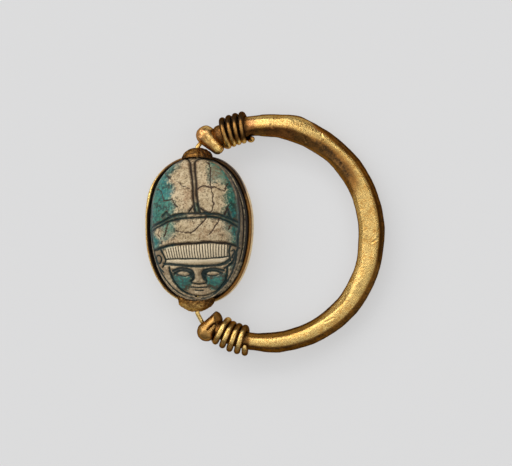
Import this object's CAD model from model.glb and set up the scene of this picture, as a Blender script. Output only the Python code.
import math

import bpy
import numpy as np
from mathutils import Matrix, Vector, noise


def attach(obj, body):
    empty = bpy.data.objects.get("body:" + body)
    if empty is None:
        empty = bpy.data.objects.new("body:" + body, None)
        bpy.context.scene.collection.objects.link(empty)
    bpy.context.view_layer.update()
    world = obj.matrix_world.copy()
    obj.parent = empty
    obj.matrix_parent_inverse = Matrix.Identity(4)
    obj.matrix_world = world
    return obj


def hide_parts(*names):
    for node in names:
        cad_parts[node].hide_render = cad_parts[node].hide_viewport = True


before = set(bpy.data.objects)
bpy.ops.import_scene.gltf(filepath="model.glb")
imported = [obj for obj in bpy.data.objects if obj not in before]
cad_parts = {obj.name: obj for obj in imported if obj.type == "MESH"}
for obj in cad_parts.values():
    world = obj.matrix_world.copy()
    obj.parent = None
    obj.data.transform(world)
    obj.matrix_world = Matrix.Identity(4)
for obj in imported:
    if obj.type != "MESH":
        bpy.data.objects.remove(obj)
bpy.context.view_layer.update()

# Camera: a long lens 0.4 m away, looking down on the ring and leaning a little to its hoop's side,
# so that the right flank of the scarab shows. The frame is 60 mm wide at the height of the bore.
MM = 0.001
BORE_HEIGHT = 3.0
VIEW_TILT = math.radians(10.0)
CAMERA_DISTANCE = 400.0
FRAME_WIDTH = 60.0
SENSOR_WIDTH = 36.0
AIM_ACROSS, AIM_ALONG = 6.84, -0.39
CLIP_RANGE = (0.01, 20.0)

lens = bpy.data.cameras.new("lens")
lens.sensor_width = SENSOR_WIDTH
lens.lens = SENSOR_WIDTH * CAMERA_DISTANCE / FRAME_WIDTH
lens.clip_start, lens.clip_end = CLIP_RANGE
camera = bpy.data.objects.new("camera", lens)
bpy.context.scene.collection.objects.link(camera)
tilted = Matrix.Rotation(VIEW_TILT, 4, "Y")
eye = tilted @ Vector((AIM_ACROSS, AIM_ALONG, CAMERA_DISTANCE)) + Vector((0, 0, BORE_HEIGHT))
camera.matrix_world = Matrix.Translation(eye * MM) @ tilted
bpy.context.scene.camera = camera
bpy.context.scene.view_settings.view_transform = "Standard"

# Table: a plain pale sheet that the ring lies on, lit by large soft lamps, of which the strongest
# stands at the upper left, in a room that is bright overhead and dark low down.
PAPER_COLOUR = (0.6, 0.6, 0.605, 1.0)
PAPER_SEEN = (0.735, 0.735, 0.738, 1.0)
PAPER_EVENNESS = 0.65
PAPER_ROUGHNESS = 0.9
PAPER_HALF = 6.0
PAPER_DROP = 0.02
ROOM_LOW, ROOM_HIGH = 0.08, 0.98
LAMPS = [
    # name, place in metres, width and height in metres, radiance
    ("key", (-1.9, 1.6, 2.0), (2.5, 2.5), 2.9),
    ("strip", (0.2, 2.2, 2.2), (3.0, 0.6), 4.0),
    ("side", (1.9, 0.1, 2.3), (0.6, 1.2), 3.4),
    ("left", (-2.4, -0.4, 1.5), (0.7, 1.6), 2.6),
    ("fill", (2.2, -1.8, 1.6), (2.0, 2.0), 0.7),
]


class Field:
    """A socket of the material being made. Sums and products of fields add their Math nodes."""

    nodes = None

    def __init__(self, socket):
        self.socket = socket

    @classmethod
    def start(cls, name):
        """A new material, and its principled shader node."""
        material = bpy.data.materials.new(name)
        material.use_nodes = True
        cls.nodes = material.node_tree
        return material, cls.nodes.nodes["Principled BSDF"]

    @classmethod
    def plug(cls, socket, value):
        if isinstance(value, Field):
            cls.nodes.links.new(value.socket, socket)
        else:
            socket.default_value = value

    @classmethod
    def node(cls, kind, inputs=None, settings=None, out=0):
        """Any node: its settings are set first, then its sockets' values or links."""
        made = cls.nodes.nodes.new("ShaderNode" + kind)
        for key, value in (settings or {}).items():
            setattr(made, key, value)
        for key, value in (inputs or {}).items():
            cls.plug(made.inputs[key], value)
        return cls(made.outputs[out])

    def maths(self, operation, *others):
        values = dict(enumerate((self, *others)))
        return Field.node("Math", values, {"operation": operation})

    def __add__(self, other):
        return self.maths("ADD", other)

    __radd__ = __add__

    def __mul__(self, other):
        return self.maths("MULTIPLY", other)

    __rmul__ = __mul__

    def __sub__(self, other):
        return self.maths("SUBTRACT", other)

    def __rsub__(self, other):
        return Field.node("Math", {0: other, 1: self}, {"operation": "SUBTRACT"})

    def __pow__(self, other):
        return self.maths("POWER", other)

    def most(self, other):
        return self.maths("MAXIMUM", other)

    def between(self, low, high):
        """0 below low and 1 above high, with a soft step between them."""
        values = {"Value": self, "From Min": low, "From Max": high}
        return Field.node("MapRange", values, {"interpolation_type": "SMOOTHSTEP"})


def new_object(name, points, faces, material=None, edges=()):
    """A smooth mesh object at the origin, from points in millimetres."""
    mesh = bpy.data.meshes.new(name)
    mesh.from_pydata((np.asarray(points) * MM).tolist(), edges, [list(map(int, f)) for f in faces])
    mesh.polygons.foreach_set("use_smooth", [True] * len(mesh.polygons))
    if material:
        mesh.materials.append(material)
    made = bpy.data.objects.new(name, mesh)
    bpy.context.scene.collection.objects.link(made)
    return made


paper, shader = Field.start("paper")
shader.inputs["Base Color"].default_value = PAPER_COLOUR
shader.inputs["Roughness"].default_value = PAPER_ROUGHNESS
shader.inputs["Specular IOR Level"].default_value = 0.0
even = Field.node("Emission", {"Color": PAPER_SEEN, "Strength": 1.0})
ray = [Field.node("LightPath", out=kind) for kind in ("Is Camera Ray", "Is Glossy Ray")]
sheet = Field.node(
    "MixShader", {0: ray[0].most(ray[1]) * PAPER_EVENNESS, 1: Field(shader.outputs[0]), 2: even}
)
below = Field.node("NewGeometry", out="Backfacing")
seen = Field.node("MixShader", {0: below, 1: sheet, 2: Field.node("BsdfTransparent")})
Field.nodes.links.new(seen.socket, Field.nodes.nodes["Material Output"].inputs["Surface"])
reach = PAPER_HALF / MM
corners = [(x * reach, y * reach, -PAPER_DROP) for x, y in ((-1, -1), (1, -1), (1, 1), (-1, 1))]
table = new_object("table", corners, [(0, 1, 2, 3)], paper)

world = bpy.data.worlds.new("room")
world.use_nodes = True
bpy.context.scene.world = world
Field.nodes = world.node_tree
upward = Field.node("SeparateXYZ", {0: Field.node("TexCoord")}, out="Z").most(0.0)
room = world.node_tree.nodes["Background"]
room.inputs["Color"].default_value = (1, 1, 1, 1)
Field.plug(room.inputs["Strength"], upward**2 * (ROOM_HIGH - ROOM_LOW) + ROOM_LOW)
for name, place, (lamp_width, lamp_height), radiance in LAMPS:
    lamp = bpy.data.lights.new(name, "AREA")
    lamp.shape, lamp.size, lamp.size_y = "RECTANGLE", lamp_width, lamp_height
    lamp.energy = radiance * math.pi * lamp_width * lamp_height
    holder = bpy.data.objects.new(name, lamp)
    holder.location = place
    holder.rotation_mode = "QUATERNION"
    holder.rotation_quaternion = Vector(place).to_track_quat("Z", "Y")
    bpy.context.scene.collection.objects.link(holder)

# Scarab: one piece of steatite, carved with abrasive and fine drills and dipped in a green-blue
# glaze, which has worn back to the cream stone on the high places. It is bored from end to end.
STONE_HALF_WIDTH, STONE_HALF_LENGTH, STONE_HEIGHT = 5.85, 8.3, 7.0
WIDEST = 0.6
FULLNESS = 2.2
BACK_INSET = 0.38
BACK_TAIL, BACK_HEAD = 0.53, 0.36
BACK_EDGE_HEIGHT = 3.5
BACK_CURVE, BACK_RISE = 2.5, 0.52
BORE_RADIUS = 0.45
BORE_REACH = 10.5
SHARP_ANGLE = math.radians(40.0)
STONE_GRID = 244
GRID_SPREAD = 0.3
# Where the carving starts to fade towards the back's edge, and how much of it is left there
CARVED_SHARE, EDGE_DEPTH_SHARE = 0.9, 0.35
LEAN, LEAN_MIDDLE, LEAN_SPREAD = 0.12, 5.0, 2.1
# Legs: their places round each side as shares of a quarter turn, how far they stand out, half width
LEG_SHARES = (-0.62, -0.18, 0.32)
LEG_RELIEF, LEG_HALF = 0.16, 0.2
# Unevenness left by the carving: height, size and a number of its own
BACK_BUMPS = [(0.025, 0.8, 2), (0.014, 0.25, 3)]
SIDE_BUMPS = (0.02, 0.8, 4)
# Height of the back along the middle, as shares, from the head's end to the tail's
RIDGE = [
    (-1, 0.52), (-0.8, 0.64), (-0.55, 0.8), (-0.25, 0.93), (0.1, 1), (0.45, 0.985), (0.8, 0.9),
    (1, 0.8),
]
# Edge of the back down to the seal face: how far out from the widest outline, how much further out
# at the tail's and at the head's end, height, share of the legs
STONE_SIDE = [
    (-0.4, 0.52, 0.35, 3.42, 0.1),
    (-0.44, 0.5, 0.34, 3.3, 0.3),
    (-0.52, 0.48, 0.34, 3.12, 0.7),
    (-0.61, 0.46, 0.33, 2.92, 1.0),
    (-0.66, 0.44, 0.32, 2.76, 1.0),
    (-0.67, 0.42, 0.32, 2.58, 1.0),
    (-0.65, 0.4, 0.32, 2.4, 0.9),
    (-0.61, 0.38, 0.32, 2.24, 0.7),
    (-0.56, 0.36, 0.32, 2.14, 0.5),
    (-0.5, 0.33, 0.3, 2.1, 0.2),
    (-0.45, 0.3, 0.27, 2.1, 0.1),
    (-0.41, 0.26, 0.24, 2.1, 0.0),
    (-0.32, 0.19, 0.19, 2.1, 0.0),
    (-0.27, 0.13, 0.13, 2.1, 0.0),
    (-0.13, 0.0, 0.0, 2.09, 0.0),
    (-0.05, 0.0, 0.0, 2.05, 0.0),
    (-0.01, 0.0, 0.0, 1.97, 0.0),
    (0.0, 0.0, 0.0, 1.7, 0.0),
    (0.0, 0.0, 0.0, 1.3, 0.0),
    (-0.03, 0.0, 0.0, 0.95, 0.0),
    (-0.08, 0.0, 0.0, 0.68, 0.0),
    (-0.16, 0.0, 0.0, 0.42, 0.0),
    (-0.28, 0.0, 0.0, 0.2, 0.0),
    (-0.39, 0.0, 0.0, 0.06, 0.0),
    (-0.46, 0.0, 0.0, 0.0, 0.0),
    (-0.95, 0.0, 0.0, 0.0, 0.0),
    (-1.03, 0.0, 0.0, 0.1, 0.0),
    (-1.15, 0.0, 0.0, 0.12, 0.0),
    (-1.23, 0.0, 0.0, 0.0, 0.0),
]


def table_at(table, place):
    """A smooth value between the rows of a table of (place, value)."""
    places, values = np.array(table, float).T
    place = np.clip(place, places[0], places[-1])
    row = np.clip(np.searchsorted(places, place, side="right") - 1, 0, len(places) - 2)
    step = (place - places[row]) / (places[row + 1] - places[row])
    return values[row] + (values[row + 1] - values[row]) * step * step * (3 - 2 * step)


def soft_step(value, low, high):
    """0 below low and 1 above high, with a soft step between them."""
    t = np.clip((np.asarray(value, float) - low) / (high - low), 0, 1)
    return t * t * (3 - 2 * t)


def within(value, rise, full, fall, end):
    """0 up to rise, 1 from full to fall and 0 again from end, with soft steps between them."""
    return soft_step(value, rise, full) * (1 - soft_step(value, fall, end))


def oval(angle, grow=0.0, tail=0.0, head=0.0):
    """The stone's outline at an angle from +X, moved outwards by grow, and more at its ends."""
    c, s = np.cos(angle), np.sin(angle)
    reach = np.where(s >= 0, STONE_HALF_LENGTH - WIDEST + tail, STONE_HALF_LENGTH + WIDEST + head)
    x = (STONE_HALF_WIDTH + grow) * np.sign(c) * np.abs(c) ** (2 / FULLNESS)
    y = WIDEST + (reach + grow) * np.sign(s) * np.abs(s) ** (2 / FULLNESS)
    return x, y


def oval_share(x, y, grow, tail=0.0, head=0.0):
    """How far out a place lies, where 1 is on the outline that oval gives."""
    ahead = y >= WIDEST
    reach = np.where(ahead, STONE_HALF_LENGTH - WIDEST + tail, STONE_HALF_LENGTH + WIDEST + head)
    across = np.abs(x / (STONE_HALF_WIDTH + grow)) ** FULLNESS
    return (across + np.abs((y - WIDEST) / (reach + grow)) ** FULLNESS) ** (1 / FULLNESS)


def swell(value, middle, spread):
    """1 at the middle, falling softly away on both sides."""
    return np.exp(-(((value - middle) / spread) ** 2))


def lean_at(y):
    """The stone and its setting are hand-made: their tail half leans a little to the left."""
    return LEAN * swell(y, LEAN_MIDDLE, LEAN_SPREAD)


def leaning(points):
    """The points, moved to the left by the lean."""
    bent = np.array(points, float)
    bent[:, 0] -= lean_at(bent[:, 1])
    return bent


def back_height(x, y):
    """Height of the back before it is carved."""
    ridge = STONE_HEIGHT * table_at(RIDGE, y / STONE_HALF_LENGTH)
    share = np.minimum(1, oval_share(x, y, -BACK_INSET, BACK_TAIL, BACK_HEAD))
    return BACK_EDGE_HEIGHT + (ridge - BACK_EDGE_HEIGHT) * (1 - share**BACK_CURVE) ** BACK_RISE


def bumpy(points, *bumps):
    """Smooth noise at each point: a sum of bumps, each with its height, size and own number."""
    total = 0
    for height, size, number in bumps:
        shift = Vector((number * 17.3, number * 5.1, number * 9.7))
        total = total + height * np.array([noise.noise(Vector(p) / size + shift) for p in points])
    return total


def rounded(path, steps=6):
    """A smooth line through the given places."""
    p = np.array(path, float)
    if len(p) < 3:
        return p
    p = np.vstack([2 * p[0] - p[1], p, 2 * p[-1] - p[-2]])
    t = np.linspace(0, 1, steps, endpoint=False)[:, None]
    spans = []
    for a, b, c, d in zip(p[:-3], p[1:-2], p[2:-1], p[3:]):
        bend = (2 * a - 5 * b + 4 * c - d) * t**2 + (3 * b - a - 3 * c + d) * t**3
        spans.append(0.5 * (2 * b + (c - a) * t + bend))
    return np.vstack([*spans, p[-2:-1]])


def distance_to(path, x, y, reach=1.2):
    """Distance to a line, worked out as far as reach."""
    path = np.asarray(path, float)
    low, high = path.min(0) - reach, path.max(0) + reach
    near = np.flatnonzero((x > low[0]) & (x < high[0]) & (y > low[1]) & (y < high[1]))
    nx, ny = x[near], y[near]
    least = np.full(nx.shape, reach)
    for a, b in zip(path[:-1], path[1:]):
        ux, uy = b - a
        t = np.clip(((nx - a[0]) * ux + (ny - a[1]) * uy) / (ux * ux + uy * uy + 1e-12), 0, 1)
        least = np.minimum(least, np.hypot(nx - a[0] - t * ux, ny - a[1] - t * uy))
    everywhere = np.full(x.shape, reach)
    everywhere[near] = least
    return everywhere


def inside_by(path, x, y):
    """How far inside a closed outline each place lies; it is negative outside."""
    path = np.array(path, float)
    inside = np.zeros(x.shape, bool)
    for (ax, ay), (bx, by) in zip(path, np.roll(path, -1, axis=0)):
        if ay == by:
            continue
        crosses = (ay > y) != (by > y)
        inside ^= crosses & (x < (bx - ax) * (y - ay) / (by - ay) + ax)
    distance = distance_to(np.vstack([path, path[:1]]), x, y)
    return np.where(inside, distance, -distance)


def disc_grid(steps):
    """A square grid bent into a disc: share from the middle, angle, faces and the rim's points."""
    line = np.linspace(-1, 1, steps + 1)
    u, v = (a.ravel() for a in np.meshgrid(line, line))
    flat = np.abs(u) >= np.abs(v)
    reach = np.where(flat, u, v)
    safe = np.where(reach == 0, 1, reach)
    angle = np.where(flat, math.pi / 4 * v / safe, math.pi / 2 - math.pi / 4 * u / safe)
    angle = np.where(reach < 0, angle + math.pi, angle)
    index = np.arange((steps + 1) ** 2).reshape(steps + 1, steps + 1)
    faces = np.stack([index[:-1, :-1], index[:-1, 1:], index[1:, 1:], index[1:, :-1]], -1)
    rim = np.concatenate([index[0, :-1], index[:-1, -1], index[-1, :0:-1], index[:0:-1, 0]])
    return np.abs(reach), angle, faces.reshape(-1, 4), rim


# Carved lines, all over: half width, depth and the places they run through
# Double line between the wing cases, with the flares at its two ends
WING_LINES = [
    (0.14, 0.28, [(-0.59, 7.73), (-0.19, 6.08), (0.12, 4.34), (0.33, 2.62), (0.43, 2.08)]),
    (0.14, 0.28, [(-0.05, 7.73), (0.27, 6.07), (0.54, 4.34), (0.83, 2.62), (0.98, 2.08)]),
    (0.12, 0.2, [(-0.59, 7.73), (-0.79, 8.02), (-1.16, 8.27), (-1.7, 8.36)]),
    (0.12, 0.2, [(-0.05, 7.73), (0.04, 8.0), (0.41, 8.22), (1.02, 8.3)]),
    (0.11, 0.18, [(0.19, 2.75), (-0.17, 2.25), (-0.4, 1.89)]),
    (0.1, 0.15, [(1.11, 2.48), (1.56, 2.12), (2.01, 1.89)]),
]
# Double line behind the neck plate, and the two small peaks on it
PLATE_LINES = [
    (0.15, 0.26, [(-5.07, 0.27), (-4.06, 0.72), (-3.11, 1.17), (-2.42, 1.49), (-1.65, 1.69),
        (-0.35, 1.87), (0.94, 1.89), (1.84, 1.87), (3.05, 1.78), (3.73, 1.55), (4.37, 1.28),
        (5.18, 0.82)]),
    (0.13, 0.22, [(-5.1, -0.18), (-3.95, 0.4), (-3.11, 0.77), (-2.41, 0.99), (-1.46, 1.22),
        (-0.52, 1.35), (0.94, 1.44), (1.75, 1.48), (2.54, 1.47), (3.15, 1.35), (3.73, 1.12),
        (4.37, 0.83), (5.19, 0.22)]),
    (0.15, 0.24, [(3.73, 1.55), (3.94, 2.12), (4.08, 2.3), (4.2, 1.98), (4.41, 1.28)]),
    (0.13, 0.2, [(-3.58, 1.49), (-3.23, 1.85), (-3.01, 1.99), (-2.77, 1.67), (-2.42, 1.49)]),
]
# Line along the edge of the back, on the right and on the left
EDGE_LINES = [
    (0.12, 0.24, [(0.9, 8.3), (2.08, 8.0), (2.94, 7.6), (3.52, 6.95), (4.14, 6.1), (4.58, 5.19),
        (4.86, 4.28), (5.06, 3.37), (5.17, 2.46), (5.22, 1.18), (5.2, 0.09), (5.1, -0.82), (5.0, -1.73),
        (4.94, -2.4), (4.8, -3.3), (4.4, -4.6), (3.72, -5.9), (2.76, -7.0), (1.7, -7.75),
        (0.6, -8.06)]),
    (0.11, 0.2, [(-1.58, 8.2), (-2.44, 7.8), (-3.28, 7.2), (-4.02, 6.4), (-4.55, 5.6), (-4.88, 4.8),
        (-5.07, 4.0), (-5.18, 3.1), (-5.22, 2.0), (-5.22, 0.8), (-5.18, -0.3), (-5.08, -1.2),
        (-4.94, -2.2), (-4.76, -3.2), (-4.36, -4.5), (-3.64, -5.8), (-2.66, -6.95), (-1.46, -7.75),
        (-0.3, -8.06)]),
]
# Upper line of the fringe of hair, lines of the band under it, and of the ears beside it
FRINGE_LINE = (0.16, 0.34, [(-4.72, -2.42), (-3.92, -2.18), (-3.33, -2.0), (-2.53, -1.83),
    (-1.56, -1.72), (-0.62, -1.63), (0.3, -1.59), (1.22, -1.5), (2.11, -1.47), (2.98, -1.52),
    (3.82, -1.59), (4.38, -1.72), (4.9, -1.93), (5.13, -2.14)])
BAND_LINES = [
    (0.1, 0.24, [(-3.42, -3.45), (-2.18, -3.42), (-0.75, -3.4), (0.64, -3.38), (2.0, -3.34),
        (3.31, -3.25), (4.2, -3.1)]),
    (0.21, 0.34, [(-3.66, -3.98), (-2.2, -4.12), (-1.0, -4.2), (0.3, -4.28), (1.6, -4.2), (3.3, -4.0),
        (4.1, -3.5)]),
]
EAR_LINES = [
    (0.14, 0.28, [(4.3, -1.85), (4.16, -2.45), (4.2, -3.08), (4.2, -3.6)]),
    (0.13, 0.26, [(4.98, -2.2), (4.82, -2.73), (4.62, -3.36), (4.2, -4.0), (3.5, -4.5)]),
    (0.11, 0.22, [(4.4, -2.5), (4.62, -2.34), (4.7, -2.6), (4.55, -2.95), (4.42, -3.3)]),
    (0.14, 0.28, [(-3.9, -2.35), (-3.57, -3.04), (-3.43, -3.55), (-3.6, -4.0), (-3.85, -4.4)]),
    (0.12, 0.24, [(-4.9, -2.5), (-4.82, -3.19), (-4.66, -3.9), (-4.3, -4.5), (-3.8, -5.0)]),
    (0.11, 0.26, [(-4.3, -3.0), (-4.05, -3.1), (-3.93, -3.43), (-4.05, -3.8), (-4.3, -3.96),
        (-4.52, -3.78), (-4.62, -3.43), (-4.52, -3.1), (-4.3, -3.0)]),
]
LINES = [*WING_LINES, *PLATE_LINES, *EDGE_LINES, FRINGE_LINE, *BAND_LINES, *EAR_LINES]
# Cracks: half width, depth, places
CRACKS = [
    (0.05, 0.07, [(-1.8, 5.63), (-1.27, 5.21), (-0.67, 4.89), (-0.19, 4.8)]),
    (0.09, 0.12, [(0.64, 4.71), (0.89, 4.93), (1.23, 5.11), (1.69, 5.02), (2.05, 4.89), (2.57, 4.93)]),
    (0.07, 0.1, [(2.57, 4.93), (3.01, 4.71), (3.69, 4.48), (3.8, 4.99), (3.91, 5.35)]),
    (0.07, 0.1, [(1.23, 8.01), (1.71, 7.55), (1.96, 7.18), (1.91, 6.62), (1.97, 5.71), (2.09, 4.98)]),
    (0.07, 0.1, [(2.09, 4.98), (2.35, 4.43), (2.47, 3.98), (2.4, 3.53), (2.55, 2.98), (2.48, 2.53)]),
    (0.06, 0.08, [(2.48, 2.53), (2.36, 2.17), (2.1, 1.9)]),
    (0.06, 0.08, [(-2.39, 3.63), (-2.18, 3.17), (-1.97, 2.81), (-1.68, 2.63)]),
    (0.08, 0.1, [(1.75, 1.53), (1.67, 1.17), (1.22, 0.72), (0.76, 0.27), (0.38, -0.1), (-0.05, -0.37)]),
    (0.06, 0.07, [(-0.05, -0.37), (-0.37, -0.28), (-0.74, -0.32), (-1.3, -0.23), (-1.86, -0.14)]),
    (0.07, 0.08, [(3.15, 1.26), (3.06, 0.81), (2.71, 0.27), (2.44, -0.14), (2.07, -0.55)]),
    (0.07, 0.09, [(-2.66, 0.99), (-2.92, 0.36), (-3.14, -0.28), (-3.38, -0.82)]),
    (0.07, 0.08, [(4.37, 0.45), (4.12, -0.09)]),
    (0.06, 0.08, [(-4.38, 4.83), (-3.66, 4.18), (-3.49, 3.36), (-2.68, 3.45), (-2.29, 3.53)]),
    (0.05, 0.07, [(-3.63, 6.67), (-3.08, 6.1), (-2.6, 5.72)]),
    (0.05, 0.07, [(-4.03, -0.09), (-4.16, -0.55), (-3.97, -1.0), (-3.63, -1.64)]),
    (0.06, 0.07, [(3.81, 1.62), (4.1, 2.71), (4.25, 2.98)]),
]
# Outlines of the places where the glaze has worn back to the stone
WORN = [
    [(-1.3, 8.7), (-1.77, 7.94), (-2.26, 7.29), (-3.1, 6.47), (-3.0, 5.64), (-2.31, 4.99), (-2.19, 3.9),
     (-2.36, 3.44), (-1.92, 2.72), (-2.23, 1.85), (-0.53, 1.89), (1.84, 1.87), (3.4, 1.75),
     (3.71, 2.26), (3.85, 2.99), (3.73, 3.89), (3.84, 4.62), (3.61, 5.26), (2.83, 5.71), (1.9, 5.53),
     (1.88, 6.53), (1.72, 7.08), (1.3, 8.7)],
    [(-2.12, 1.04), (-2.03, 0.36), (-2.07, -0.46), (-2.48, -0.82), (-3.09, -1.18), (-4.06, -1.73),
     (-3.6, -2.3), (0.3, -1.7), (4.3, -1.9), (4.33, -1.0), (4.19, -0.46), (3.8, 0.09), (3.73, 0.81),
     (3.15, 1.35), (1.75, 1.44), (-0.52, 1.33)],
    [(-0.48, 1.95), (-0.48, 1.25), (1.75, 1.4), (1.84, 1.95)],
    [(2.4, 1.95), (2.4, 1.4), (3.05, 1.35), (3.1, 1.85)],
    [(-4.5, 0.1), (-3.9, 0.35), (-3.6, -0.3), (-4.1, -0.9), (-4.7, -0.6)],
]
# Outlines of the places that kept some glaze among the worn ones, and of the thin glaze
SPOTS = [
    [(0.38, 3.1), (0.8, 3.1), (0.98, 1.98), (0.4, 1.98)],
    [(-4.1, -2.35), (-2.2, -1.9), (-2.2, -1.68), (-4.1, -2.0)],
    [(4.2, -3.95), (4.55, -3.9), (4.6, -4.35), (4.1, -4.65)],
    [(-3.0, 0.6), (-2.6, 0.75), (-2.5, 0.2), (-3.0, 0.0)],
]
THIN = [
    [(1.5, 7.9), (2.59, 7.7), (3.52, 6.7), (4.08, 5.63), (3.77, 5.2), (2.92, 5.5), (1.9, 5.3),
     (1.7, 6.53)],
    [(3.5, 1.4), (4.7, 0.6), (4.9, -1.3), (4.2, -1.6), (3.5, 0.2)],
    [(-4.9, -0.2), (-3.0, 0.8), (-2.2, 0.8), (-2.2, -0.8), (-4.1, -1.8)],
    [(-2.6, 8.2), (-1.6, 8.2), (-2.0, 7.2), (-3.0, 7.2)],
]
# Slopes of the lines, in half widths, and of the cracks, and how far dirt spreads beside a line
LINE_SLOPE = (0.1, 1.55)
CRACK_SLOPE = 1.8
LINE_REACH, CRACK_REACH = 0.6, 0.4
DIRT_SPREAD = 0.32
FINE_LINE = 0.08
# How the lines sway and the cracks zigzag: height, size and a number of its own
SWAY = (0.05, 1.1, 1)
ZIGZAGS = [(0.13, 0.45, 7), (0.09, 0.17, 8)]
# Fringe: number of strands, half width and depth of each, ends of its upper and its lower edge
FRINGE_STRANDS = 24
FRINGE_CUT = (0.052, 0.22)
FRINGE_TOP = ((-3.25, -2.35), (4.02, -1.72))
FRINGE_FOOT = ((-3.05, -3.36), (3.95, -3.13))
FRINGE_BULGE = 0.34

# The face is of a calm, general kind. Hairline, brow, nose and chin are a third of it apart, and it
# is five eyes wide. Its features are given for one side, in from its own axis.
FACE_AXIS = 0.4
FACE_END = -4.0, -3.7
BROW_Y, NOSE_Y = -4.6, -6.2
# Nose: half width and relief at its root and at its tip, and how softly it starts and ends
NOSE_HALVES, NOSE_RELIEFS = (0.22, 0.48), (0.16, 0.5)
NOSE_SOFTNESS = 0.12
# Mounds and hollows: middle x and y, half widths, height
FACE = [
    (1.75, -5.1, 1.4, 0.6, -0.34),
    (1.75, -5.1, 0.9, 0.34, 0.34),
    (2.0, -6.0, 1.3, 0.85, 0.2),
    (0.5, -6.02, 0.26, 0.22, 0.2),
    (0.72, -5.5, 0.3, 0.85, -0.2),
    (1.25, -6.75, 0.45, 0.4, -0.12),
]
FACE_MIDDLE = [
    (0.0, -6.63, 0.9, 0.17, 0.2),
    (0.0, -6.92, 0.72, 0.17, 0.22),
    (0.0, -7.45, 0.85, 0.34, 0.2),
]
FACE_LINES = [
    (0.16, 0.26, [(0.82, -5.2), (1.2, -4.88), (1.75, -4.77), (2.3, -4.88), (2.8, -5.1)]),
    (0.08, 0.12, [(0.82, -5.2), (1.3, -5.37), (1.9, -5.4), (2.8, -5.1)]),
    (0.18, 0.26, [(0.5, -5.2), (0.72, -4.8), (1.25, -4.6), (2.0, -4.53), (3.0, -4.78)]),
    (0.15, 0.3, [(3.4, -4.4), (3.32, -5.1), (3.1, -5.8), (2.66, -6.5), (2.1, -7.1), (1.35, -7.52)]),
    (0.15, 0.28, [(1.35, -7.52), (0.7, -7.74), (0.0, -7.82)]),
    (0.15, 0.2, [(0.48, -5.2), (0.58, -5.7), (0.88, -5.95), (0.84, -6.22)]),
    (0.1, 0.22, [(0.84, -6.22), (0.36, -6.3), (0.0, -6.34)]),
    (0.09, 0.18, [(0.95, -6.74), (0.5, -6.76), (0.0, -6.79)]),
    (0.07, 0.1, [(0.5, -7.1), (0.0, -7.14)]),
]
CHEEK_GLAZE = [
    (0.95, -5.5), (1.5, -5.6), (2.3, -5.52), (3.15, -5.2), (3.05, -5.8), (2.62, -6.42), (2.1, -6.9),
    (1.5, -6.85), (1.1, -6.4), (1.0, -5.9),
]


def mound(x, y, row):
    """Height of one row of the face's mounds and hollows at each place."""
    mx, my, rx, ry, height = row
    return height * np.exp(-(((x - mx) / rx) ** 2 + ((y - my) / ry) ** 2) * 1.4)


def face_relief(x, y):
    """Height of the face over the back, at places given from its own axis."""
    side = np.abs(x)
    relief = sum(mound(side, y, row) for row in FACE)
    relief = relief + sum(mound(x, y, row) for row in FACE_MIDDLE)
    down = np.clip((BROW_Y + 0.2 - y) / (BROW_Y + 0.2 - NOSE_Y), 0, 1)
    half = NOSE_HALVES[0] + (NOSE_HALVES[1] - NOSE_HALVES[0]) * down**1.5
    nose = NOSE_RELIEFS[0] + (NOSE_RELIEFS[1] - NOSE_RELIEFS[0]) * down
    nose *= soft_step(-y, -BROW_Y - 0.35, -BROW_Y + 0.3)
    nose *= 1 - soft_step(-y, -NOSE_Y - NOSE_SOFTNESS, -NOSE_Y + NOSE_SOFTNESS)
    return relief + nose * np.exp(-((x / half) ** 2) * 1.2)


def carving(x, y):
    """Depth of all carved lines and of the cracks at each place, with their masks from 0 to 1."""
    flat = np.stack([x, y, 0 * x], 1)
    sway, jag = bumpy(flat, SWAY), bumpy(flat, *ZIGZAGS)
    depth, groove, crack, dirt = (np.zeros(x.shape) for _ in range(4))
    lines = [*LINES]
    for half, deep, path in FACE_LINES:
        lines += [(half, deep, [(FACE_AXIS + side * px, py) for px, py in path]) for side in (-1, 1)]
    for i in range(FRINGE_STRANDS):
        share = i / (FRINGE_STRANDS - 1)
        top = np.array(FRINGE_TOP[0]) * (1 - share) + np.array(FRINGE_TOP[1]) * share
        top[1] += FRINGE_BULGE * (1 - (2 * share - 1) ** 2) ** 0.8 * (0.75 + 0.25 * share)
        foot = np.array(FRINGE_FOOT[0]) * (1 - share) + np.array(FRINGE_FOOT[1]) * share
        lines.append((*FRINGE_CUT, [tuple(top), tuple(foot)]))
    for half, deep, path in lines:
        apart = distance_to(rounded(path), x + sway, y - sway, LINE_REACH)
        near = 1 - soft_step(apart, LINE_SLOPE[0] * half, LINE_SLOPE[1] * half)
        depth = np.maximum(depth, deep * near)
        groove = np.maximum(groove, near)
        if half > FINE_LINE:
            dirt = np.maximum(dirt, 1 - soft_step(apart, half, half + DIRT_SPREAD))
    for half, deep, path in CRACKS:
        apart = distance_to(path, x + jag, y + 0.7 * jag, CRACK_REACH)
        near = 1 - soft_step(apart, 0.0, CRACK_SLOPE * half)
        depth = np.maximum(depth, deep * near)
        crack = np.maximum(crack, near)
    return depth, groove, crack, dirt


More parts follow.
